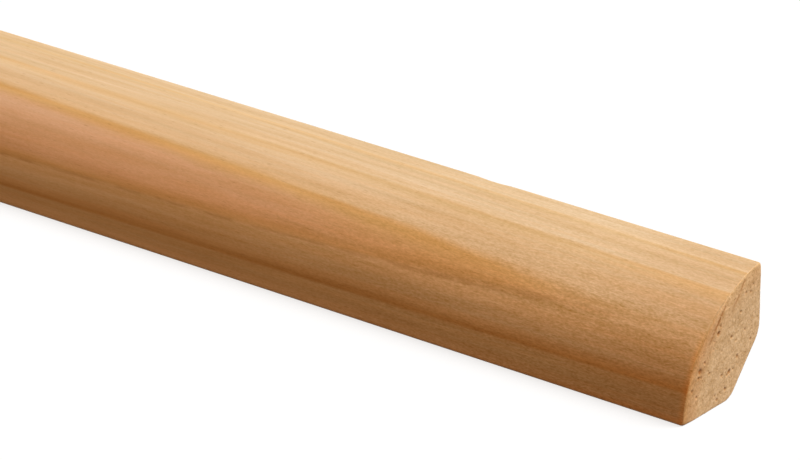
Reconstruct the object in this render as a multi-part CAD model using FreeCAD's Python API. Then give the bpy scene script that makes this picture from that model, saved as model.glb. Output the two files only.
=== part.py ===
"""Quarter round moulding: one straight length of planed timber trim.

It covers the joint between a floor and a wall or skirting board. The section stands on two equal legs,
a floor seat and a wall seat. The face between them is one arc, a little flatter than a quarter circle.
The heel, where the seats would meet, is bevelled off so that it clears glue and a rough corner.
Sizes are in millimetres. X runs along the stock, +Y points at the wall and +Z is up.
The origin is on the floor, under the middle of the stock's box.
"""

import FreeCAD, Part
import math
import os

# Stock
LENGTH = 2438.0  # eight feet, as it is sold

# Section
LEG = 19.0  # full height and full depth, before the edges are eased
FACE_RADIUS = 21.5  # rounded face, which runs from the toe to the top edge
WALL_SEAT = 10.9  # height of the back face, from the top edge down to the bevel
FLOOR_SEAT = 11.9  # depth of the bottom face, from the toe back to the bevel

# Long edges as the moulding cutter leaves them
TOP_RADIUS = 0.6  # where the rounded face meets the wall seat
TOE_RADIUS = 0.5  # where the rounded face meets the floor seat
WALL_HEEL_RADIUS = 4.6  # where the wall seat turns into the bevel
FLOOR_HEEL_RADIUS = 1.0  # where the floor seat turns into the bevel, crisp so that the stock lies steady

SAME_PLACE = 1e-4  # points closer than this are one point


def section_corners():
    """The section's four sharp corners, looking along +X, before any edge is eased."""
    wall = LEG / 2
    toe = -LEG / 2
    return {
        "top": (wall, LEG),
        "wall_heel": (wall, LEG - WALL_SEAT),
        "floor_heel": (toe + FLOOR_SEAT, 0.0),
        "toe": (toe, 0.0),
    }


def in_section(point, x):
    """A point of the section at a place along the stock."""
    return FreeCAD.Vector(x, point[0], point[1])


def sharp_section(corners, x):
    """The section as a face: three straight sides, and the arc of the rounded face."""
    top, wall_heel, floor_heel, toe = (
        in_section(corners[name], x) for name in ("top", "wall_heel", "floor_heel", "toe")
    )
    half_chord = (top - toe).Length / 2
    rise = FACE_RADIUS - math.sqrt(FACE_RADIUS**2 - half_chord**2)
    halfway = (top + toe) / 2 + FreeCAD.Vector(0, -1, 1).normalize() * rise
    sides = [
        Part.LineSegment(top, wall_heel).toShape(),
        Part.LineSegment(wall_heel, floor_heel).toShape(),
        Part.LineSegment(floor_heel, toe).toShape(),
        Part.Arc(toe, halfway, top).toShape(),
    ]
    return Part.Face(Part.Wire(sides))


def long_edge(solid, corner):
    """The edge that runs the length of the stock through one corner of the section."""
    for edge in solid.Edges:
        ends = [vertex.Point for vertex in edge.Vertexes]
        if all(math.hypot(p.y - corner[0], p.z - corner[1]) < SAME_PLACE for p in ends):
            return edge
    raise ValueError(f"no long edge at {corner}")


def ease_long_edges(solid, corners):
    """Rounds the four long edges, each to its own radius."""
    radii = {
        "top": TOP_RADIUS,
        "toe": TOE_RADIUS,
        "wall_heel": WALL_HEEL_RADIUS,
        "floor_heel": FLOOR_HEEL_RADIUS,
    }
    for name, radius in radii.items():
        solid = solid.makeFillet(radius, [long_edge(solid, corners[name])])
    return solid


def make_quarter_round():
    """The whole moulding: the section drawn out along the stock, and its long edges eased."""
    corners = section_corners()
    stock = sharp_section(corners, -LENGTH / 2).extrude(FreeCAD.Vector(LENGTH, 0, 0))
    return ease_long_edges(stock, corners).Solids[0]


def main():
    os.makedirs("parts", exist_ok=True)
    quarter_round = make_quarter_round()
    quarter_round.exportStep("parts/quarter_round.step")
    box = quarter_round.optimalBoundingBox()
    print(f"{box.XLength:.2f} x {box.YLength:.2f} x {box.ZLength:.2f} mm, floor at z {box.ZMin:.3f}")
    print(f"depth from y {box.YMin:.3f} to {box.YMax:.3f}, {len(quarter_round.Faces)} faces")
    print(f"{quarter_round.Volume / 1000:.1f} cm3, centre of mass at y {quarter_round.CenterOfMass.y:.2f}")
    print(f"one valid solid: {quarter_round.isValid()}")


main()
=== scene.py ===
"""The looks of the quarter round moulding: its sawn ends, its wood and the studio it is seen in.

Sizes are in millimetres until the mesh is made, and x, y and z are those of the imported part.
"""
import math

import bpy
import numpy as np
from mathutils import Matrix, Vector, noise
from mathutils.geometry import delaunay_2d_cdt


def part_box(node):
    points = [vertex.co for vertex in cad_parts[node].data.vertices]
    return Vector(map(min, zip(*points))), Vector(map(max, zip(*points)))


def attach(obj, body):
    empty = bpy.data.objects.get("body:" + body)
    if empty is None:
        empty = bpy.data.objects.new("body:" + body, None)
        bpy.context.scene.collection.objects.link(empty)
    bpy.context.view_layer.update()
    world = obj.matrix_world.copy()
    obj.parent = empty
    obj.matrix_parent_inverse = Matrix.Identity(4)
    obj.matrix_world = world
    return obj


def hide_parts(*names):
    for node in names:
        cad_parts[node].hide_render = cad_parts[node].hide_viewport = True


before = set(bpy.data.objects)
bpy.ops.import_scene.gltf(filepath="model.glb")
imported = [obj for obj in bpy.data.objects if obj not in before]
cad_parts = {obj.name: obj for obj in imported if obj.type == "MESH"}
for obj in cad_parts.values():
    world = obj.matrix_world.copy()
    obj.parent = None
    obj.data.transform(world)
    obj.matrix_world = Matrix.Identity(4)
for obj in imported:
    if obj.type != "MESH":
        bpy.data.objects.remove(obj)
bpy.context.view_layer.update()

MM = 0.001

# The part's section, as its source has it apart from the floor heel, which is softer to the eye
LEG = 19.0
FACE_RADIUS = 21.5
WALL_SEAT = 10.9
FLOOR_SEAT = 11.9
TOP_RADIUS = 0.6
TOE_RADIUS = 0.5
WALL_HEEL_RADIUS = 4.6
FLOOR_HEEL_RADIUS = 3.0

# How far the centre of the rounded face lies behind the heel and below it
CENTRE_BEYOND = math.sqrt(FACE_RADIUS**2 - LEG**2 / 2) / math.sqrt(2) - LEG / 2

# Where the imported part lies
NODE_LOW, NODE_HIGH = (Vector(corner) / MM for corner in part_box("quarter_round"))
FAR_END = NODE_LOW.x
NEAR_END = NODE_HIGH.x
LENGTH = NEAR_END - FAR_END
WALL = NODE_HIGH.y
FLOOR = NODE_LOW.z
NEAR_HEEL = Vector((NEAR_END, WALL, FLOOR))  # where the two seats would meet at the near end

# The mesh
RING_STEP = 0.34  # between points round the section
LEAST_STEPS = 6  # round each arc of the section
EDGE_SUPPORT = 0.15  # from a flat's end to the point that keeps its shading flat
ARRIS_TURNS = 4  # steps round the worn edge of a sawn end
TURNS = [math.pi / 2 * i / ARRIS_TURNS for i in range(ARRIS_TURNS + 1)]  # from long face to cut
CAP_STEP = 0.155  # between points of a sawn end
CAP_MARGIN = 0.09  # that they keep from its edge
SAME_PLACE = 1e-6  # points closer than this are one point

# Rings of points along the stock: close together at each sawn end, evenly over the stretch that the
# photograph shows, then at growing steps to the middle, and at the widest step beyond it
END_RINGS = [0.55, 0.75, 1.0, 1.5, 2.2, 3.2, 4.5, 6.0, 8.0]
MORE_FAR_RINGS = [12.0, 17.0, 24.0]  # these from the far end alone
SEEN_START = 10.0
SEEN_END = 160.0
SEEN_STEP = 2.0
STEP_GROWTH = 1.06
WIDEST_STEP = 14.0
MIDDLE_ROOM = 12.0  # how near the middle the growing steps end
FAR_ROOM = 30.0  # how near the far end the widest ones end
BORDER_ROOM = 0.8  # that rings keep from the borders of the map's strips


def arc(centre, radius, start, end):
    """A round stretch of the section, anticlockwise seen from the near end. Angles in radians."""
    return {"centre": centre, "radius": radius, "start": start, "end": end}


def section_arcs():
    """The five round stretches of the section. Straight runs join them."""
    face = (WALL + CENTRE_BEYOND, FLOOR - CENTRE_BEYOND)

    top_y = WALL - TOP_RADIUS
    top_z = face[1] + math.sqrt((FACE_RADIUS - TOP_RADIUS) ** 2 - (top_y - face[0]) ** 2)
    toe_z = FLOOR + TOE_RADIUS
    toe_y = face[0] - math.sqrt((FACE_RADIUS - TOE_RADIUS) ** 2 - (toe_z - face[1]) ** 2)
    face_start = math.atan2(top_z - face[1], top_y - face[0])
    face_end = math.atan2(toe_z - face[1], toe_y - face[0])

    bevel_rise = LEG - WALL_SEAT
    bevel_run = LEG - FLOOR_SEAT
    bevel = 2 * math.pi - math.atan2(bevel_run, bevel_rise)
    straight_down = 1.5 * math.pi
    floor_heel_y = WALL - bevel_run - FLOOR_HEEL_RADIUS * math.tan((bevel - straight_down) / 2)
    wall_heel_z = FLOOR + bevel_rise + WALL_HEEL_RADIUS * math.tan((2 * math.pi - bevel) / 2)
    return [
        arc(face, FACE_RADIUS, face_start, face_end),
        arc((toe_y, toe_z), TOE_RADIUS, face_end, straight_down),
        arc((floor_heel_y, FLOOR + FLOOR_HEEL_RADIUS), FLOOR_HEEL_RADIUS, straight_down, bevel),
        arc((WALL - WALL_HEEL_RADIUS, wall_heel_z), WALL_HEEL_RADIUS, bevel, 2 * math.pi),
        arc((top_y, top_z), TOP_RADIUS, 0.0, face_start),
    ]


def on_arc(stretch, angle):
    """A point of a round stretch: y, z and the angle of the surface's normal."""
    y, z = stretch["centre"]
    return (y + stretch["radius"] * math.cos(angle), z + stretch["radius"] * math.sin(angle), angle)


def section_ring():
    """Points right round the section, each with the angle of its normal."""
    arcs = section_arcs()
    points = []
    for this, after in zip(arcs, arcs[1:] + arcs[:1]):
        turn = this["end"] - this["start"]
        steps = max(LEAST_STEPS, math.ceil(this["radius"] * turn / RING_STEP))
        points += [on_arc(this, this["start"] + turn * i / steps) for i in range(steps + 1)]
        y0, z0, angle = points[-1]
        y1, z1, _ = on_arc(after, after["start"])
        run = math.hypot(y1 - y0, z1 - z0)
        if run < EDGE_SUPPORT:
            points.pop()  # the next stretch starts here
            continue
        inner = np.linspace(EDGE_SUPPORT, run - EDGE_SUPPORT, math.ceil(run / RING_STEP))
        points += [(y0 + (y1 - y0) * s / run, z0 + (z1 - z0) * s / run, angle) for s in inner]
    return np.array(points)


RING = section_ring()  # y, z and the angle of the normal
RING_NORMALS = np.stack([np.cos(RING[:, 2]), np.sin(RING[:, 2])], axis=1)
RING_GAPS = np.hypot(*(np.roll(RING[:, :2], -1, axis=0) - RING[:, :2]).T)
ROUND = np.concatenate([[0.0], np.cumsum(RING_GAPS)])  # distance round the section, its girth last
GIRTH = ROUND[-1]

# Wear round a sawn end's edge, more of it at the toe, the top and the middle of the rounded face
EDGE_WEAR = 0.12
WEAR_CHANCE = 0.06  # how far it strays from that, in broad patches and in fine ones
BROAD_WEAR = 3.1
FINE_WEAR = 0.8
FINE_WEAR_SEED = 7.0  # added to the seed of the broad patches
LEAST_WEAR = 0.06
MOST_WEAR = 0.44  # less than the radius of any long edge
# Place from the heel, amount and reach
WORN_PLACES = [((-LEG, 0.0), 0.32, 1.7), ((0.0, LEG), 0.14, 1.3), ((-12.6, 11.4), 0.22, 6.5)]

# The sawn ends: the blade's marks, the torn surface and its broad unevenness, each with its depth
SAW_BESIDE = 35.0  # the blade's centre, from the wall seat
SAW_BELOW = 118.0  # and from the floor
SAW_PITCH = 0.93
SAW_DEPTH = 0.012
SAW_WAVER = 2.5  # in radians of a mark's wave
WAVER_SIZE = 2.5  # of the patches in which the marks waver
TORN_DEPTH = 0.04
TORN_SIZE = 0.33
TORN_SEED = 3.0  # added to the seed of the waver
BROAD_DEPTH = 0.05
BROAD_SIZE = 4.0
BROAD_SEED = 5.0
EDGE_ROOM = 1.1  # the cut's relief fades out this near its edge
MOST_RISE = (SAW_DEPTH + TORN_DEPTH + BROAD_DEPTH) / 2  # of the cut's relief above its mean

# The sawn ends' open pores
PORE_WIDTH = 0.38  # of a pore of the depth below and fully dark, while wider ones are deeper
PORE_DEPTH = 0.09
SMALL_PORES = 60  # spread by chance over the square of the legs
LEAST_WIDTH = 0.18
MORE_WIDTH = 0.22  # that the widest of them have

# Each sawn end: where the cut lies in the mean, which way it faces, its place from the right of
# the map, and the seeds of what chance decides there
NEAR = {
    "cut": NEAR_END - MOST_RISE,
    "outward": 1,
    "map_place": 1,
    "wear_seed": 1.0,
    "pore_seed": 5,
    "relief_seed": 2.0,
}
FAR = {
    "cut": FAR_END + MOST_RISE,
    "outward": -1,
    "map_place": 2,
    "wear_seed": 23.0,
    "pore_seed": 11,
    "relief_seed": 31.0,
}

# The largest open pores of the near end: y and z from the heel, and width
NEAR_PORES = [
    (-14.8, 7.1, 0.62),
    (-10.4, 11.4, 0.52),
    (-7.6, 4.4, 0.52),
    (-8.0, 4.1, 0.38),
    (-5.6, 6.1, 0.43),
    (-7.1, 9.7, 0.40),
    (-13.7, 8.1, 0.35),
    (-16.7, 4.7, 0.38),
    (-15.6, 3.4, 0.35),
    (-12.5, 6.0, 0.33),
    (-2.3, 7.6, 0.33),
    (-2.5, 15.1, 0.33),
    (-9.9, 12.4, 0.35),
    (-11.0, 1.9, 0.30),
]

# A knock on the top edge
KNOCK_DISTANCE = 47.0  # from the near end
KNOCK_PLACE = -0.3  # round the section, from the start of the rounded face
KNOCK_LENGTH = 2.4
KNOCK_FLATNESS = 3  # the power that levels its bottom along the stock
KNOCK_WIDTH = 0.8
KNOCK_DEPTH = 0.12

# The map that the wood is baked through: strips of the stock's length, both ends beside the last
MAP_ROWS = 6
MAP_END = 0.13  # width of each sawn end on the map
MAP_GAP = 0.004  # between the map's parts
STRIP = LENGTH / (MAP_ROWS - 2 * MAP_END)


def stations():
    """Places along the stock where the mesh has a ring, measured from the near end."""
    seen = list(np.arange(SEEN_START, SEEN_END, SEEN_STEP))
    step = SEEN_STEP
    while seen[-1] < LENGTH / 2 - MIDDLE_ROOM:
        step = min(step * STEP_GROWTH, WIDEST_STEP)
        seen.append(seen[-1] + step)
    beyond = list(np.arange(seen[-1] + WIDEST_STEP, LENGTH - FAR_ROOM, WIDEST_STEP))
    from_far_end = [LENGTH - distance for distance in END_RINGS + MORE_FAR_RINGS]
    borders = [STRIP * row for row in range(1, MAP_ROWS)]
    inner = [d for d in seen + beyond if all(abs(d - border) > BORDER_ROOM for border in borders)]
    return sorted(END_RINGS + inner + from_far_end + borders)


def unevenness(y, z, size, seed):
    """Smooth chance about zero over the section, in patches of this size."""
    return noise.noise(Vector((y / size, z / size, seed)))


def wear(seed):
    """How far the long faces' edge with a sawn end is worn back, round the section."""
    worn = []
    for y, z, _ in RING:
        broad = unevenness(y, z, BROAD_WEAR, seed)
        fine = unevenness(y, z, FINE_WEAR, seed + FINE_WEAR_SEED)
        depth = EDGE_WEAR + WEAR_CHANCE * (broad + fine)
        for (worn_y, worn_z), amount, reach in WORN_PLACES:
            away = math.hypot(y - WALL - worn_y, z - FLOOR - worn_z)
            depth += amount * math.exp(-((away / reach) ** 2))
        worn.append(depth)
    return np.clip(np.array(worn), LEAST_WEAR, MOST_WEAR)


def small_pores(seed):
    """A sawn end's small open pores: places from the heel, and widths, more narrow than wide."""
    chance = np.random.default_rng(seed)
    places = chance.uniform((-LEG, 0.0), (0.0, LEG), (SMALL_PORES, 2))
    widths = LEAST_WIDTH + MORE_WIDTH * chance.random(SMALL_PORES) ** 2
    return [(y, z, width) for (y, z), width in zip(places, widths)]


def smooth_step(value):
    """Turns 0 to 1 into a soft start and stop."""
    value = np.clip(value, 0.0, 1.0)
    return value * value * (3.0 - 2.0 * value)


def cap_points(worn):
    """Points of a sawn end, its outline first, then a grid, and each one's room to the edge."""
    outline = RING[:, :2] - RING_NORMALS * worn[:, None]
    rows = np.arange(FLOOR, FLOOR + LEG, CAP_STEP * math.sqrt(3) / 2)
    grid = []
    for number, z in enumerate(rows):
        shift = CAP_STEP / 2 * (number % 2)
        grid += [(y, z) for y in np.arange(WALL - LEG + shift, WALL, CAP_STEP)]
    grid = np.array(grid)
    room = np.full(len(grid), np.inf)
    for point, normal in zip(outline, RING_NORMALS):
        room = np.minimum(room, (point - grid) @ normal)
    inside = room > CAP_MARGIN
    points = np.concatenate([outline, grid[inside]])
    return points, np.concatenate([np.zeros(len(outline)), room[inside]])


def cap_relief(points, room, pores, seed):
    """How deep each point of a sawn end lies below the cut's mean, and how much of a pore it is."""
    depth = np.zeros(len(points))
    pit = np.zeros(len(points))
    for i, (y, z) in enumerate(points):
        from_saw = math.hypot(y - WALL - SAW_BESIDE, z - FLOOR + SAW_BELOW)
        waver = SAW_WAVER * unevenness(y, z, WAVER_SIZE, seed)
        mark = math.sin(2 * math.pi * from_saw / SAW_PITCH + waver)
        torn = unevenness(y, z, TORN_SIZE, seed + TORN_SEED)
        broad = unevenness(y, z, BROAD_SIZE, seed + BROAD_SEED)
        depth[i] = (SAW_DEPTH * mark + TORN_DEPTH * torn + BROAD_DEPTH * broad) / 2
    for y, z, width in pores:
        away = np.hypot(points[:, 0] - WALL - y, points[:, 1] - FLOOR - z)
        pit = np.maximum(pit, width / PORE_WIDTH * (1.0 - smooth_step(away / width)))
    depth = (depth + PORE_DEPTH * pit) * smooth_step(room / EDGE_ROOM)
    return depth, np.minimum(pit, 1.0)


def side_rows(near_worn, far_worn):
    """Rings of points from the far end to the near, with each ring's distance from the near end.

    Round a worn edge the distance is as if the edge were unrolled.
    """
    rows = []
    along = []

    def worn_ring(end, worn, turn):
        flat = RING[:, :2] - RING_NORMALS * (worn * (1 - math.cos(turn)))[:, None]
        return np.column_stack([end["cut"] - end["outward"] * worn * (1 - math.sin(turn)), flat])

    for turn in reversed(TURNS):
        rows.append(worn_ring(FAR, far_worn, turn))
        along.append(LENGTH - far_worn.mean() * (1 - turn))
    for distance in reversed(stations()):
        depth = knock_depth(distance)
        flat = RING[:, :2] - RING_NORMALS * depth[:, None]
        rows.append(np.column_stack([np.full(len(RING), NEAR_END - distance), flat]))
        along.append(distance)
    for turn in TURNS:
        rows.append(worn_ring(NEAR, near_worn, turn))
        along.append(near_worn.mean() * (1 - turn))
    return np.array(rows), np.array(along)


def knock_depth(distance):
    """How deep the knock on the top edge is, round the section this far from the near end."""
    top = (ROUND[:-1] - KNOCK_PLACE + GIRTH / 2) % GIRTH - GIRTH / 2
    lengthwise = (distance - KNOCK_DISTANCE) / KNOCK_LENGTH
    shape = math.exp(-abs(lengthwise) ** KNOCK_FLATNESS)
    return KNOCK_DEPTH * shape * np.exp(-((top / KNOCK_WIDTH) ** 2))


def strip_of(along):
    """Which strip of the map a distance from the near end lies on."""
    return min(MAP_ROWS - 1, max(0, int(along / STRIP)))


def on_map(u, v, row):
    """A place on the map, from shares of the map's width and of one row's height."""
    across = MAP_GAP / 2 + u * (1 - MAP_GAP)
    up = (row + 0.5 + (v - 0.5) * (1 - MAP_GAP * MAP_ROWS)) / MAP_ROWS
    return (across, up)


def side_faces(along):
    """Faces between the rings, and the places of their corners on the map."""
    columns = len(RING)
    faces = []
    places = []
    for i in range(len(along) - 1):
        row = strip_of((along[i] + along[i + 1]) / 2)
        here = along[i] / STRIP - row
        there = along[i + 1] / STRIP - row
        for j in range(columns):
            following = (j + 1) % columns
            faces.append((
                i * columns + j,
                i * columns + following,
                (i + 1) * columns + following,
                (i + 1) * columns + j,
            ))
            v0 = ROUND[j] / GIRTH
            v1 = ROUND[j + 1] / GIRTH
            corners = ((here, v0), (here, v1), (there, v1), (there, v0))
            places += [on_map(u, v, row) for u, v in corners]
    return faces, places


def cap_faces(points, outward):
    """Triangles that fill a sawn end, wound so that they face outward."""
    count = len(RING)
    edges = [(i, (i + 1) % count) for i in range(count)]
    flat = [Vector(point) for point in points]
    inside_outline = 1
    _, _, faces, origins, _, _ = delaunay_2d_cdt(flat, edges, [], inside_outline, SAME_PLACE)
    faces = [[origins[corner][0] for corner in face] for face in faces]
    return [face if outward > 0 else face[::-1] for face in faces]


def add_cap(shell, ring_start, worn, pores, end):
    """Closes one end of the shell: new points inside its last ring, and triangles over them."""
    points, room = cap_points(worn)
    depth, hollow = cap_relief(points, room, pores, end["relief_seed"])
    count = len(RING)
    inner_start = sum(len(block) for block in shell["vertices"])
    inner = np.column_stack([end["cut"] - end["outward"] * depth[count:], points[count:]])
    shell["vertices"].append(inner)
    shell["hollows"].append(hollow[count:])
    left = 1 - MAP_END * end["map_place"]
    for face in cap_faces(points, end["outward"]):
        corners = tuple(ring_start + c if c < count else inner_start + c - count for c in face)
        shell["faces"].append(corners)
        for corner in face:
            y, z = points[corner]
            across = MAP_GAP + (y - WALL + LEG) / LEG * (MAP_END - 2 * MAP_GAP)
            shell["places"].append(on_map(left + across, (z - FLOOR) / LEG, MAP_ROWS - 1))


def moulding_shell():
    """The whole length as one closed shell: vertices, faces and what its map and material need."""
    near_worn = wear(NEAR["wear_seed"])
    far_worn = wear(FAR["wear_seed"])
    rows, along = side_rows(near_worn, far_worn)
    faces, places = side_faces(along)
    sides = rows.reshape(-1, 3)
    shell = {
        "vertices": [sides],
        "faces": faces,
        "places": places,
        "hollows": [np.zeros(len(sides))],
    }
    last_ring = len(sides) - len(RING)
    add_cap(shell, last_ring, near_worn, NEAR_PORES + small_pores(NEAR["pore_seed"]), NEAR)
    add_cap(shell, 0, far_worn, small_pores(FAR["pore_seed"]), FAR)
    shell["vertices"] = np.concatenate(shell["vertices"])
    shell["hollows"] = np.concatenate(shell["hollows"])
    shell["end_grain"] = end_share(len(shell["vertices"]), len(rows))
    return shell


def make_moulding():
    """The shell as one mesh, in metres."""
    shell = moulding_shell()
    mesh = bpy.data.meshes.new("moulding")
    mesh.from_pydata((shell["vertices"] * MM).tolist(), [], shell["faces"])
    mesh.shade_smooth()
    uv = mesh.uv_layers.new(name="OFBake")
    uv.data.foreach_set("uv", np.array(shell["places"]).ravel())
    end_grain = mesh.attributes.new("end_grain", "FLOAT", "POINT")
    end_grain.data.foreach_set("value", shell["end_grain"])
    hollow = mesh.attributes.new("hollow", "FLOAT", "POINT")
    hollow.data.foreach_set("value", shell["hollows"])
    mesh.update()
    moulding = bpy.data.objects.new("moulding", mesh)
    bpy.context.scene.collection.objects.link(moulding)
    return moulding


def end_share(vertex_count, row_count):
    """1 on a sawn end, 0 on a long face, and between them round the worn edge."""
    turned = [math.sin(turn) for turn in TURNS]
    by_row = np.zeros(row_count)
    by_row[: len(TURNS)] = turned[::-1]
    by_row[-len(TURNS) :] = turned
    share = np.ones(vertex_count)
    share[: row_count * len(RING)] = np.repeat(by_row, len(RING))
    return share


# The tree that the stock was cut from. Its growth rings cross the section almost straight and rise
# a little along the stock, so the rounded face shows them as long tongues.
RING_LEAN = math.radians(49.2)  # the rings' normal, from straight up towards the toe
OUTWARD = (0.0, -math.sin(RING_LEAN), math.cos(RING_LEAN))
TOEWARD = (0.0, -math.cos(RING_LEAN), -math.sin(RING_LEAN))
TOEWARD_REACH = 2 * LEG * math.cos(RING_LEAN)  # roughly the section's width that way
RING_BEND = 200.0  # radius of their bend, about a line beyond the rounded face
DRIFT = 1.85  # how far the rings rise and fall along the stock
DRIFT_LENGTH = 1700.0
# How the rings wander: length along the grain, breadth across it, and size
RING_WAVES = [(90.0, 14.0, 0.25), (19.0, 4.0, 0.15), (5.0, 0.7, 0.06)]
RINGS_END = 21.0  # where the ramps across the rings end

# The tints of the rings' wood, multiplied into the colour of pale wood
PALE_WOOD = (0.77, 0.585, 0.36)
PALE_TINT = (1.0, 1.0, 1.0)
FIRST_TINT = (0.94, 0.82, 0.57)
LOW_FIRST_TINT = (0.81, 0.64, 0.41)
USUAL_TINT = (0.96, 0.95, 0.94)
TONGUE_TINT = (0.97, 0.855, 0.89)
PALE_BAND = 0.4  # how far before each ring's start its wood turns paler
RING_BLUR = 0.08  # to either side of each ring's start
# Where each ring starts, from the heel outward at the near end, how strong its first wood is on
# the side of the top edge and on the toe's, how far that fades, and the colour of its later wood
UPPER, LOWER = 0, 1
GROWTH_RINGS = [
    (3.2, (0.20, 0.20), 0.8, USUAL_TINT),
    (6.6, (0.25, 0.25), 0.9, USUAL_TINT),
    (9.6, (0.20, 0.20), 0.9, USUAL_TINT),
    (12.1, (0.25, 0.25), 0.8, USUAL_TINT),
    (14.18, (0.50, 0.80), 0.7, USUAL_TINT),
    (16.48, (0.50, 1.00), 1.0, USUAL_TINT),
    (18.31, (1.00, 0.70), 0.45, TONGUE_TINT),
]
OUTER_RING = GROWTH_RINGS[-2][0]  # from where the sawn ends show outer wood

# The upper side's look gives way to the lower side's between these distances from the heel
# towards the toe
RINGS_SIDE = (-2.0, 3.0)  # for the rings of the planed faces
GRAIN_SIDE = (-9.0, 3.0)  # for the strength of grain and streaks
RIM_SIDE = (-8.0, 2.0)  # for the rim of the sawn ends

# Near a sawn end the planed faces are darker and their rings show more strongly
NEAR_END_TINT = (0.95, 0.90, 0.86)
NEAR_END_SHARE = 0.8
NEAR_END_REACH = (3.0, 26.0)  # where that starts to fade, and where it ends

# Streaks and grain of the planed faces: length along the grain, breadth across it, and strength
WARM_STREAK = (0.99, 0.93, 0.85)
WARM_STREAK_SIZE = (38.0, 1.3)
WARM_STREAK_EDGE = (0.3, 0.7)  # values of its noise between which it sets in
LAYER_STRETCH = 4.0  # how closely the streaks follow the rings
BROAD_STREAKS = (60.0, 2.6, 0.36)
FINE_STREAKS = (16.0, 1.2, 0.22)
CLOSE_GRAIN = (2.2, 0.42, 0.22)
HAIR_GRAIN = (0.6, 0.20, 0.38)
FACE_HUES = (1.0, 1.4, 2.3)  # how much the red, green and blue of the planed faces follow the grain
# How strong the grain is at a sawn end and far from it, and on the top edge's side and the toe's
GRAIN_REACH = 110.0
GRAIN_STRENGTH = (1.6, 0.42)
SIDE_GRAIN = (0.55, 1.25)
SIDE_STREAKS = (0.68, 1.08)  # the fine streaks' strength likewise

# The last of the planed faces before a sawn end, on the side of the top edge and on the toe's,
# where a painted highlight makes it lighter and more orange
SAWN_EDGE_TINT = (1.0, 0.98, 0.95)
LOW_SAWN_EDGE_HIGHLIGHT = (1.20, 1.03, 0.79)
SAWN_EDGE_REACH = 1.4

# Painted light and shade on the planed faces from the top edge to the toe, at shares of that way:
# darker at the top edge, lighter above the middle, darker and more orange towards the toe
SIDE_PAINTED_SHADING = [
    (0.0, (0.89, 0.88, 0.87)),
    (0.15, (0.98, 0.98, 1.0)),
    (0.35, (1.06, 1.02, 0.98)),
    (0.6, (1.05, 0.96, 0.82)),
    (0.8, (0.88, 0.84, 0.77)),
    (0.9, (0.74, 0.70, 0.60)),
    (1.0, (0.87, 0.80, 0.75)),
]

# Painted shade over the worn edge between a long face and a sawn end, which keeps that edge from
# showing a highlight, at shares of the same way
ARRIS_PAINTED_SHADE = [
    (0.0, (0.90, 0.91, 0.93)),
    (0.2, (0.82, 0.80, 0.78)),
    (0.3, (0.74, 0.73, 0.72)),
    (0.42, (0.78, 0.75, 0.67)),
    (0.52, (0.66, 0.61, 0.50)),
    (0.64, (0.75, 0.74, 0.72)),
    (0.76, (1.0, 1.0, 1.0)),
]
# Round that edge the mesh's end_grain goes from 0 to 1. Between these values of it the painted
# shade sets in, the painted shade ends, and the look of the sawn end takes over.
ARRIS_START = (0.0, 0.3)
ARRIS_STOP = (0.8, 1.0)
SAWN_START = (0.5, 0.98)

# The sawn ends' wood, and its patches and grain: length along the grain, breadth across it, and
# strength
END_WOOD = (0.765, 0.495, 0.25)
END_OUTER_WOOD = (0.80, 0.51, 0.265)
OUTER_BLUR = 0.4  # over which the outer wood sets in
END_BROAD = (30.0, 2.2, 0.40)
END_CLOSE = (4.0, 0.8, 0.62)
END_TORN = (1.0, 0.36, 0.60)
END_SPECKLE = (1.0, 0.17, 0.24)
END_HUES = (1.0, 1.27, 1.76)  # how much the red, green and blue follow them

# How a sawn end's colour changes inward from the rounded face, at shares of that reach, with a
# painted highlight on the side of the top edge and painted shade on the toe's
RIM_REACH = 5.0
UPPER_RIM_HIGHLIGHT = [
    (0.0, (1.20, 1.18, 1.10)),
    (0.1, (1.12, 1.07, 0.98)),
    (0.2, (1.05, 0.99, 0.91)),
    (0.6, (1.0, 0.97, 0.94)),
    (1.0, (1.0, 1.0, 1.0)),
]
LOWER_RIM_SHADE = [
    (0.0, (0.72, 0.56, 0.38)),
    (0.06, (0.80, 0.64, 0.45)),
    (0.13, (0.87, 0.71, 0.54)),
    (0.3, (0.88, 0.77, 0.66)),
    (0.5, (0.95, 0.86, 0.78)),
    (0.8, (0.98, 0.96, 0.92)),
    (1.0, (1.0, 1.0, 1.0)),
]

PORE_TINT = (0.61, 0.43, 0.27)

# The tree's vessels where they lie open, each in a cell of this length and breadth
FACE_VESSELS = (2.0, 0.26)
FACE_VESSEL_DARKNESS = 0.35
END_VESSELS = (2.0, 0.44)
END_VESSEL_DARKNESS = 0.6
VESSEL_CHANCE = (0.5, 1.0)  # a cell's random number, from no vessel to a fully dark one
VESSEL_EDGE = (0.08, 0.34)  # distance from the cell's point, from fully dark to none

# The rows of pores with which rings start, on the planed faces and on the sawn ends
FACE_ROWS = {
    "rings": GROWTH_RINGS[-1:],  # that show a row
    "reach": 0.07,  # of a row to either side of its ring's start
    "breaks": (5.0, 0.6),  # length and breadth of the noise that breaks it
    "whole": (0.36, 0.52),  # values of that noise, from broken to whole
    "darkness": 0.7,
}
END_ROWS = {
    "rings": GROWTH_RINGS,
    "reach": 0.42,
    "breaks": (4.0, 0.7),
    "whole": (0.33, 0.50),
    "darkness": 1.0,
}
# A sawn end's rows fade out between these distances from the heel towards the toe, and start and
# stop between these depths under the rounded face
ROWS_TOP = (-1.5, 1.5)
ROWS_START = (0.35, 0.9)
ROWS_STOP = (2.1, 3.2)

# Bump and gloss
GRAIN_DEPTH = 0.07  # of a bump of 1
FACE_BUMP = 0.6  # of the planed faces' grain
FACE_SINK = 0.12  # of their vessels
END_BUMP = 0.5  # of the sawn ends' torn grain
END_SINK = 0.4  # of their pores
FACE_ROUGHNESS = 0.52
END_ROUGHNESS = 0.8
POLISH_WAVES = (9.0, 0.8, 0.14)  # how the roughness strays: length, breadth and size
GLOSS = 0.15
NOISE_DETAIL = 2.0

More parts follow.
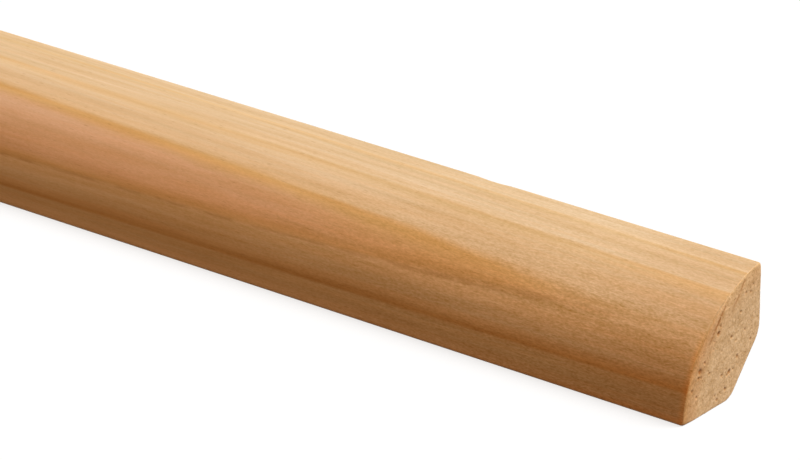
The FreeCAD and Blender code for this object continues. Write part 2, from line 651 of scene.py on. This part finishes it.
# The studio's lamps: name, the direction each shines from, strength, colour, softness in degrees
LAMPS = [
    ("key", (0.448, 0.404, 0.798), 4.45, (0.96, 0.98, 1.0), 30.0),
    ("warm_front", (0.0, -0.8, 0.6), 1.0, (1.0, 0.55, 0.2), 50.0),
]
ROOM_LIGHT = 0.03
FLOOR_BOUNCE = (0.14, 0.10, 0.11)  # the floor's colour in the light that it throws back
FLOOR_PALE = (0.9, 0.9, 0.9)  # and as it is seen
FLOOR_WHITE = 0.8  # how much of the floor's look is plain white
FLOOR_SIZE = 60.0  # in metres
FLOOR_CLEAR = 0.00002  # in metres, so that seat and floor don't share one plane

# The camera, from the heel of the near end
CAMERA_TURN = math.radians(37.633)
CAMERA_RISE = math.radians(24.153)
CAMERA_AIM = (-46.093, -24.321, 19.810)
CAMERA_DISTANCE = 797.97
LENS = 250.59
SENSOR = 36.0
CLIP_START = 0.01  # in metres
CLIP_END = 200.0


class Look:
    """Adds nodes to one material or world. Every method returns the new node's output."""

    def __init__(self, owner):
        self.tree = owner.node_tree

    def add(self, kind, feeds=(), output=0, **settings):
        """Any node, with its inputs fed by values or by other nodes' outputs."""
        node = self.tree.nodes.new(kind)
        for name, value in settings.items():
            setattr(node, name, value)
        for socket, value in feeds:
            if isinstance(value, bpy.types.NodeSocket):
                self.tree.links.new(value, node.inputs[socket])
            else:
                node.inputs[socket].default_value = value
        return node.outputs[output]

    def maths(self, operation, *values):
        """One operation on numbers."""
        return self.add("ShaderNodeMath", enumerate(values), operation=operation)

    def vector(self, operation, *values, output=0):
        """One operation on vectors or colours."""
        return self.add("ShaderNodeVectorMath", enumerate(values), output, operation=operation)

    def stretched(self, place, along, across):
        """A place counted in these lengths along the grain and across it."""
        return self.vector("MULTIPLY", place, (1 / along, 1 / across, 1 / across))

    def cloud(self, place):
        """Smooth noise from 0 to 1."""
        feeds = [("Vector", place), ("Scale", 1.0), ("Detail", NOISE_DETAIL)]
        return self.add("ShaderNodeTexNoise", feeds, "Fac")

    def wander(self, place, along, across, size):
        """Noise about zero, stretched along the grain."""
        spread = self.cloud(self.stretched(place, along, across))
        return self.maths("MULTIPLY_ADD", spread, size, -size / 2)

    def step(self, value, low, high, to_low=0.0, to_high=1.0):
        """Goes softly from one result to the other while the value goes from low to high."""
        feeds = enumerate([value, low, high, to_low, to_high])
        return self.add("ShaderNodeMapRange", feeds, interpolation_type="SMOOTHSTEP")

    def fade(self, value, low, high):
        """The same from 1 to 0."""
        return self.step(value, low, high, 1.0, 0.0)

    def blend(self, share, first, second, kind="MIX"):
        """Mixes two colours, or lays the second over the first in another way."""
        node = self.tree.nodes.new("ShaderNodeMix")
        node.data_type = "RGBA"
        node.blend_type = kind
        for name, value in (("Factor_Float", share), ("A_Color", first), ("B_Color", second)):
            socket = next(s for s in node.inputs if s.identifier == name)
            if isinstance(value, bpy.types.NodeSocket):
                self.tree.links.new(value, socket)
            else:
                socket.default_value = (*value, 1.0) if isinstance(value, tuple) else value
        return next(s for s in node.outputs if s.identifier == "Result_Color")

    def toned(self, colour, tone, hues):
        """Lightens and darkens a colour, each of its parts by its own share."""
        factors = self.vector("MULTIPLY_ADD", tone, hues, (1.0, 1.0, 1.0))
        return self.vector("MULTIPLY", colour, factors)

    def scaled(self, place, amount):
        """A place in another unit."""
        feeds = [("Vector", place), ("Scale", amount)]
        return self.add("ShaderNodeVectorMath", feeds, operation="SCALE")

    def profile(self, value, stops):
        """A ramp of greys or colours at places from 0 to 1."""
        node = self.tree.nodes.new("ShaderNodeValToRGB")
        self.tree.links.new(value, node.inputs["Fac"])
        elements = node.color_ramp.elements
        elements.remove(elements[-1])
        node.color_ramp.interpolation = "EASE"
        for i, (place, shade) in enumerate(stops):
            element = elements.new(place) if i else elements[0]
            element.position = place
            colour = shade if isinstance(shade, tuple) else (shade, shade, shade)
            element.color = (*colour, 1.0)
        return node.outputs["Color"]


def tinted(share, tint):
    """A tint at less than its full strength."""
    return tuple(1 - share * (1 - part) for part in tint)


def ring_stops(side, pale_tint, first_tint):
    """The ramp of tints across the growth rings: each starts sharply, fades and ends paler."""
    stops = [(0.0, USUAL_TINT)]
    for start, strengths, fade, later_tint in GROWTH_RINGS:
        stops.append(((start - PALE_BAND) / RINGS_END, stops[-1][1]))
        stops.append(((start - RING_BLUR) / RINGS_END, pale_tint))
        stops.append(((start + RING_BLUR) / RINGS_END, tinted(strengths[side], first_tint)))
        stops.append(((start + fade) / RINGS_END, later_tint))
    return stops


def row_stops(rings, reach):
    """The ramp of the thin row of pores with which each of these rings starts."""
    stops = [(0.0, 0.0)]
    for start, strengths, _, _ in rings:
        for offset, grey in ((-reach, 0.0), (0.0, strengths[LOWER]), (reach, 0.0)):
            stops.append(((start + offset) / RINGS_END, grey))
    return stops


def across_rings(wood, from_heel, downward):
    """How far out across the growth rings a point lies, with their bend, drift and wander."""
    outward = wood.vector("DOT_PRODUCT", from_heel, OUTWARD, output="Value")
    bent = wood.maths("MULTIPLY_ADD", wood.maths("POWER", downward, 2.0), -0.5 / RING_BEND, outward)
    x = wood.add("ShaderNodeSeparateXYZ", [("Vector", from_heel)], "X")
    swing = wood.maths("SINE", wood.maths("MULTIPLY", x, -2 * math.pi / DRIFT_LENGTH))
    drifted = wood.maths("MULTIPLY_ADD", swing, DRIFT, bent)
    for waves in RING_WAVES:
        drifted = wood.maths("ADD", drifted, wood.wander(from_heel, *waves))
    return drifted


def under_face(wood, from_heel):
    """How far inside the rounded face a point of the section lies."""
    from_centre = wood.vector("SUBTRACT", from_heel, (0.0, CENTRE_BEYOND, -CENTRE_BEYOND))
    in_section = wood.vector("MULTIPLY", from_centre, (0.0, 1.0, 1.0))
    return wood.maths("SUBTRACT", FACE_RADIUS, wood.vector("LENGTH", in_section, output="Value"))


def toeward_share(wood, downward):
    """How much of the way from the top edge to the toe lies behind a point, from 0 to 1."""
    return wood.maths("MULTIPLY_ADD", downward, 1 / TOEWARD_REACH, 0.5)


def vessels(wood, from_heel, length, breadth):
    """Where the tree's vessels lie open: dashes on the long faces and dots on the sawn ends."""
    cells = wood.tree.nodes.new("ShaderNodeTexVoronoi")
    wood.tree.links.new(wood.stretched(from_heel, length, breadth), cells.inputs["Vector"])
    cells.inputs["Scale"].default_value = 1.0
    chance = wood.add("ShaderNodeSeparateColor", [("Color", cells.outputs["Color"])], "Red")
    kept = wood.step(chance, *VESSEL_CHANCE)
    inside = wood.fade(cells.outputs["Distance"], *VESSEL_EDGE)
    return wood.maths("MULTIPLY", kept, inside)


def pore_rows(wood, from_heel, rings, kind, where):
    """How dark the broken rows of pores are with which rings start."""
    rows = wood.profile(rings, row_stops(kind["rings"], kind["reach"]))
    whole = wood.step(wood.cloud(wood.stretched(from_heel, *kind["breaks"])), *kind["whole"])
    shown = wood.maths("MULTIPLY", rows, wood.maths("MULTIPLY", whole, where))
    return wood.maths("MULTIPLY", shown, kind["darkness"])


def ringed_colour(wood, rings, low_side, from_end):
    """The planed faces' colour from ring to ring, darker near the sawn ends."""
    upper = wood.profile(rings, ring_stops(UPPER, PALE_TINT, FIRST_TINT))
    lower = wood.profile(rings, ring_stops(LOWER, USUAL_TINT, LOW_FIRST_TINT))
    colour = wood.blend(1.0, PALE_WOOD, wood.blend(low_side, upper, lower), "MULTIPLY")
    near_end = wood.step(from_end, *NEAR_END_REACH, NEAR_END_SHARE, 0.0)
    darker_rings = wood.blend(1.0, upper, NEAR_END_TINT, "MULTIPLY")
    return wood.blend(near_end, colour, darker_rings, "MULTIPLY")


def grain_tone(wood, layers, downward, from_end, grain):
    """How much lighter or darker the planed faces are from streak to streak."""
    broad = wood.wander(layers, *BROAD_STREAKS)
    side_strength = wood.step(downward, *GRAIN_SIDE, *SIDE_STREAKS)
    streaks = wood.maths("MULTIPLY", wood.wander(layers, *FINE_STREAKS), side_strength)
    strength = wood.step(from_end, 0.0, GRAIN_REACH, *GRAIN_STRENGTH)
    side_strength = wood.step(downward, *GRAIN_SIDE, *SIDE_GRAIN)
    seen = wood.maths("MULTIPLY", grain, wood.maths("MULTIPLY", strength, side_strength))
    return wood.maths("ADD", wood.maths("ADD", broad, streaks), seen)


def long_grain(wood, from_heel, downward, outward):
    """Colour and height of the planed faces."""
    rings = wood.maths("DIVIDE", outward, RINGS_END)
    low_side = wood.step(downward, *RINGS_SIDE)
    x = wood.add("ShaderNodeSeparateXYZ", [("Vector", from_heel)], "X")
    from_near = wood.maths("MULTIPLY", x, -1.0)
    from_end = wood.maths("MINIMUM", from_near, wood.maths("SUBTRACT", LENGTH, from_near))
    colour = ringed_colour(wood, rings, low_side, from_end)

    layer = wood.maths("MULTIPLY", outward, LAYER_STRETCH)
    layers = wood.add("ShaderNodeCombineXYZ", [("X", x), ("Y", layer), ("Z", downward)])
    warmth = wood.step(wood.cloud(wood.stretched(layers, *WARM_STREAK_SIZE)), *WARM_STREAK_EDGE)
    colour = wood.blend(warmth, colour, WARM_STREAK, "MULTIPLY")
    close = wood.wander(layers, *CLOSE_GRAIN)
    hair = wood.wander(from_heel, *HAIR_GRAIN)
    grain = wood.maths("ADD", close, hair)
    colour = wood.toned(colour, grain_tone(wood, layers, downward, from_end, grain), FACE_HUES)
    # Painted light and shade from the top edge to the toe
    painted_shading = wood.profile(toeward_share(wood, downward), SIDE_PAINTED_SHADING)
    colour = wood.blend(1.0, colour, painted_shading, "MULTIPLY")
    # A painted highlight along each sawn end on the toe's side
    edge_tint_and_highlight = wood.blend(low_side, SAWN_EDGE_TINT, LOW_SAWN_EDGE_HIGHLIGHT)
    colour = wood.blend(wood.fade(from_end, 0.0, SAWN_EDGE_REACH), colour, edge_tint_and_highlight, "MULTIPLY")

    dashes = vessels(wood, from_heel, *FACE_VESSELS)
    row = pore_rows(wood, from_heel, rings, FACE_ROWS, low_side)
    dark = wood.maths("MAXIMUM", row, wood.maths("MULTIPLY", dashes, FACE_VESSEL_DARKNESS))
    colour = wood.blend(dark, colour, PORE_TINT, "MULTIPLY")
    sunk = wood.maths("MULTIPLY", dashes, FACE_SINK)
    return colour, wood.maths("SUBTRACT", wood.maths("MULTIPLY", grain, FACE_BUMP), sunk)


def end_grain(wood, from_heel, downward, outward):
    """Colour and height of the sawn ends."""
    outer = wood.step(outward, OUTER_RING, OUTER_RING + OUTER_BLUR)
    colour = wood.blend(outer, END_WOOD, END_OUTER_WOOD)
    broad = wood.wander(from_heel, *END_BROAD)
    close = wood.wander(from_heel, *END_CLOSE)
    torn = wood.wander(from_heel, *END_TORN)
    speckle = wood.wander(from_heel, *END_SPECKLE)
    tone = wood.maths("ADD", wood.maths("ADD", broad, close), wood.maths("ADD", torn, speckle))
    colour = wood.toned(colour, tone, END_HUES)

    inward = under_face(wood, from_heel)
    rim = wood.maths("DIVIDE", inward, RIM_REACH)
    low_side = wood.step(downward, *RIM_SIDE)
    # A painted highlight along the rim on the top edge's side, and painted shade on the toe's
    rim_light_and_shade = wood.blend(low_side, wood.profile(rim, UPPER_RIM_HIGHLIGHT), wood.profile(rim, LOWER_RIM_SHADE))
    colour = wood.blend(1.0, colour, rim_light_and_shade, "MULTIPLY")

    dark = end_pores(wood, from_heel, downward, outward, inward)
    colour = wood.blend(dark, colour, PORE_TINT, "MULTIPLY")
    sunk = wood.maths("MULTIPLY", dark, END_SINK)
    return colour, wood.maths("SUBTRACT", wood.maths("MULTIPLY", torn, END_BUMP), sunk)


def end_pores(wood, from_heel, downward, outward, inward):
    """How dark a sawn end's pores are: rows near its rim, the mesh's own hollows, and dots."""
    near_top = wood.fade(downward, *ROWS_TOP)
    near_rim = wood.maths("MULTIPLY", wood.step(inward, *ROWS_START), wood.fade(inward, *ROWS_STOP))
    where = wood.maths("MULTIPLY", near_top, near_rim)
    rows = pore_rows(wood, from_heel, wood.maths("DIVIDE", outward, RINGS_END), END_ROWS, where)
    hollow = wood.add("ShaderNodeAttribute", (), "Fac", attribute_name="hollow")
    dots = wood.maths("MULTIPLY", vessels(wood, from_heel, *END_VESSELS), END_VESSEL_DARKNESS)
    return wood.maths("MAXIMUM", wood.maths("MAXIMUM", rows, hollow), dots)


def wood_material():
    """Bare planed wood, and its end grain where the mesh says that the stock was sawn."""
    material = bpy.data.materials.new("planed_wood")
    material.use_nodes = True
    wood = Look(material)
    surface = material.node_tree.nodes["Principled BSDF"]
    links = material.node_tree.links

    place = wood.scaled(wood.add("ShaderNodeTexCoord", (), "Object"), 1 / MM)
    from_heel = wood.vector("SUBTRACT", place, tuple(NEAR_HEEL))
    downward = wood.vector("DOT_PRODUCT", from_heel, TOEWARD, output="Value")
    outward = across_rings(wood, from_heel, downward)
    face_colour, face_height = long_grain(wood, from_heel, downward, outward)
    end_colour, end_height = end_grain(wood, from_heel, downward, outward)
    turned = wood.add("ShaderNodeAttribute", (), "Fac", attribute_name="end_grain")
    sawn = wood.step(turned, *SAWN_START)
    colour = wood.blend(sawn, face_colour, end_colour)
    arris = wood.maths("MULTIPLY", wood.step(turned, *ARRIS_START), wood.fade(turned, *ARRIS_STOP))
    # Painted shade over the worn edge between a long face and a sawn end
    arris_shade = wood.profile(toeward_share(wood, downward), ARRIS_PAINTED_SHADE)
    colour = wood.blend(arris, colour, arris_shade, "MULTIPLY")
    heights = [("Factor", sawn), ("A", face_height), ("B", end_height)]
    height = wood.add("ShaderNodeMix", heights, data_type="FLOAT")
    bump = [("Strength", 1.0), ("Distance", GRAIN_DEPTH * MM), ("Height", height)]
    polish = wood.wander(from_heel, *POLISH_WAVES)
    roughness = wood.maths("ADD", wood.step(sawn, 0.0, 1.0, FACE_ROUGHNESS, END_ROUGHNESS), polish)

    links.new(colour, surface.inputs["Base Color"])
    links.new(roughness, surface.inputs["Roughness"])
    links.new(wood.add("ShaderNodeBump", bump), surface.inputs["Normal"])
    surface.inputs["Specular IOR Level"].default_value = GLOSS
    return material


def add_sun(name, toward, strength, colour, softness):
    """A soft lamp that lights the whole length evenly. It shines from the direction given."""
    lamp = bpy.data.lights.new(name, "SUN")
    lamp.energy = strength
    lamp.color = colour
    lamp.angle = math.radians(softness)
    sun = bpy.data.objects.new(name, lamp)
    sun.rotation_euler = Vector(toward).to_track_quat("Z", "Y").to_euler()
    bpy.context.scene.collection.objects.link(sun)


def seen_directly(look):
    """1 for what the camera sees, by itself or in a mirror or through glass."""
    rays = look.tree.nodes.new("ShaderNodeLightPath").outputs
    mirrored = look.maths("MAXIMUM", rays["Is Glossy Ray"], rays["Is Transmission Ray"])
    return look.maths("MAXIMUM", rays["Is Camera Ray"], mirrored)


def floor_material():
    """Pale paper, lit up to white for the camera but with the shadow left in it."""
    material = bpy.data.materials.new("paper")
    material.use_nodes = True
    paper = Look(material)
    nodes = material.node_tree.nodes
    nodes.remove(nodes["Principled BSDF"])
    seen = seen_directly(paper)
    colour = paper.blend(seen, FLOOR_BOUNCE, FLOOR_PALE)
    matt = paper.add("ShaderNodeBsdfDiffuse", [("Color", colour)])
    white = paper.add("ShaderNodeEmission", [("Strength", 1.0)])
    share = paper.maths("MULTIPLY", seen, FLOOR_WHITE)
    both = paper.add("ShaderNodeMixShader", [(0, share), (1, matt), (2, white)])
    material.node_tree.links.new(both, nodes["Material Output"].inputs["Surface"])
    return material


def add_floor():
    """A wide level floor under the stock."""
    half = FLOOR_SIZE / 2
    corners = [(-half, -half), (half, -half), (half, half), (-half, half)]
    level = FLOOR * MM - FLOOR_CLEAR
    mesh = bpy.data.meshes.new("floor")
    mesh.from_pydata([(x, y, level) for x, y in corners], [], [(0, 1, 2, 3)])
    mesh.materials.append(floor_material())
    floor = bpy.data.objects.new("floor", mesh)
    bpy.context.scene.collection.objects.link(floor)


def add_world():
    """A dim even room, white where the camera looks past the floor."""
    world = bpy.data.worlds.new("studio")
    world.use_nodes = True
    sky = Look(world)
    background = world.node_tree.nodes["Background"]
    strength = sky.step(seen_directly(sky), 0.0, 1.0, ROOM_LIGHT, 1.0)
    background.inputs["Color"].default_value = (1.0, 1.0, 1.0, 1.0)
    world.node_tree.links.new(strength, background.inputs["Strength"])
    bpy.context.scene.world = world


def add_camera():
    """The photograph's view of the near end."""
    data = bpy.data.cameras.new("camera")
    data.lens = LENS
    data.sensor_width = SENSOR
    data.clip_start = CLIP_START
    data.clip_end = CLIP_END
    back = Vector((
        math.sin(CAMERA_TURN) * math.cos(CAMERA_RISE),
        -math.cos(CAMERA_TURN) * math.cos(CAMERA_RISE),
        math.sin(CAMERA_RISE),
    ))
    camera = bpy.data.objects.new("camera", data)
    camera.location = (NEAR_HEEL + Vector(CAMERA_AIM) + back * CAMERA_DISTANCE) * MM
    camera.rotation_euler = (math.pi / 2 - CAMERA_RISE, 0.0, CAMERA_TURN)
    bpy.context.scene.collection.objects.link(camera)
    bpy.context.scene.camera = camera


moulding = make_moulding()
moulding.data.materials.append(wood_material())
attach(moulding, "root")
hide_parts("quarter_round")

add_floor()
add_world()
for lamp in LAMPS:
    add_sun(*lamp)
add_camera()
bpy.context.scene.view_settings.view_transform = "Standard"
